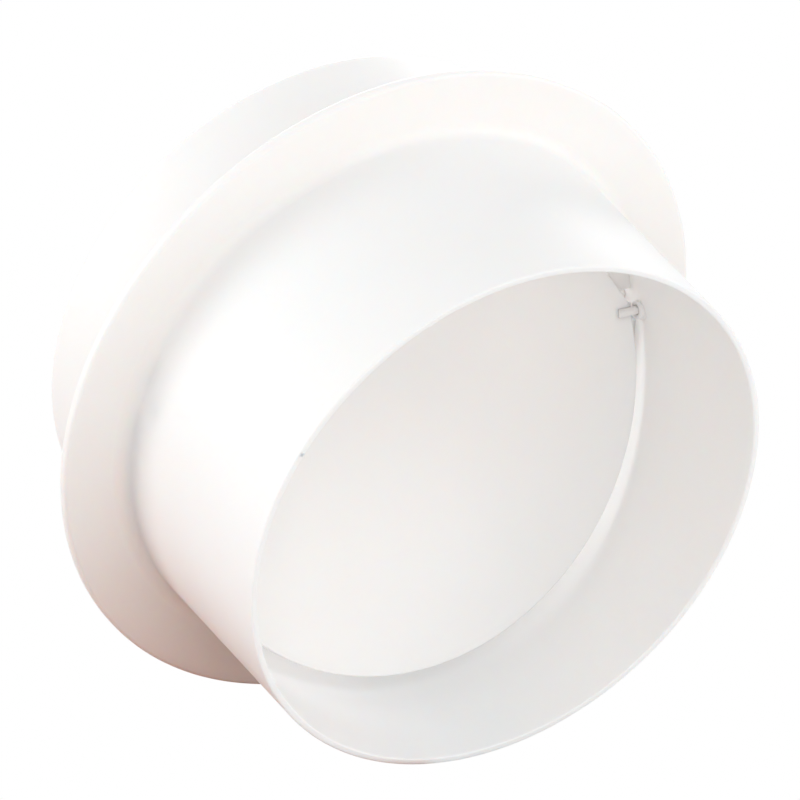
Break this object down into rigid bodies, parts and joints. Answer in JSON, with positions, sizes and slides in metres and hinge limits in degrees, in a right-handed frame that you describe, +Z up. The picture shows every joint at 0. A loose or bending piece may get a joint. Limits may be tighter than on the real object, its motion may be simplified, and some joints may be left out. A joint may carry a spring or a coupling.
{
  "type": "backdraft damper",
  "caption": "Round in-line duct connector with an outer collar and a disc flap that hangs on two stub pins and shuts against returning air.",
  "frame": {"origin": "on the tube's axis, in the plane of the collar's front face", "axes": "-Y along the tube's axis towards the longer, front spigot, +Z up and square to the pivot line, +X along the pivot line to the right when looking along +Y"},
  "size_m": [0.123, 0.0692, 0.123],
  "materials": {
    "housing_plastic": "white moulded plastic with a satin skin",
    "flap_plastic": "white moulded plastic, matte and slightly warm",
    "pin_plastic": "smooth off-white plastic"
  },
  "bodies": {
    "housing_body": {"housing": "housing_plastic"},
    "flap_body": {"flap": "flap_plastic", "pivot_pin_right": "pin_plastic", "pivot_pin_left": "pin_plastic"}
  },
  "joints": [
    {"name": "flap_swing", "type": "hinge", "parent": "housing_body", "child": "flap_body", "pos_m": [0, -0.0057, 0.0084], "axis": [-1, 0, 0], "range_deg": [-18.8, 51.2]}
  ]
}
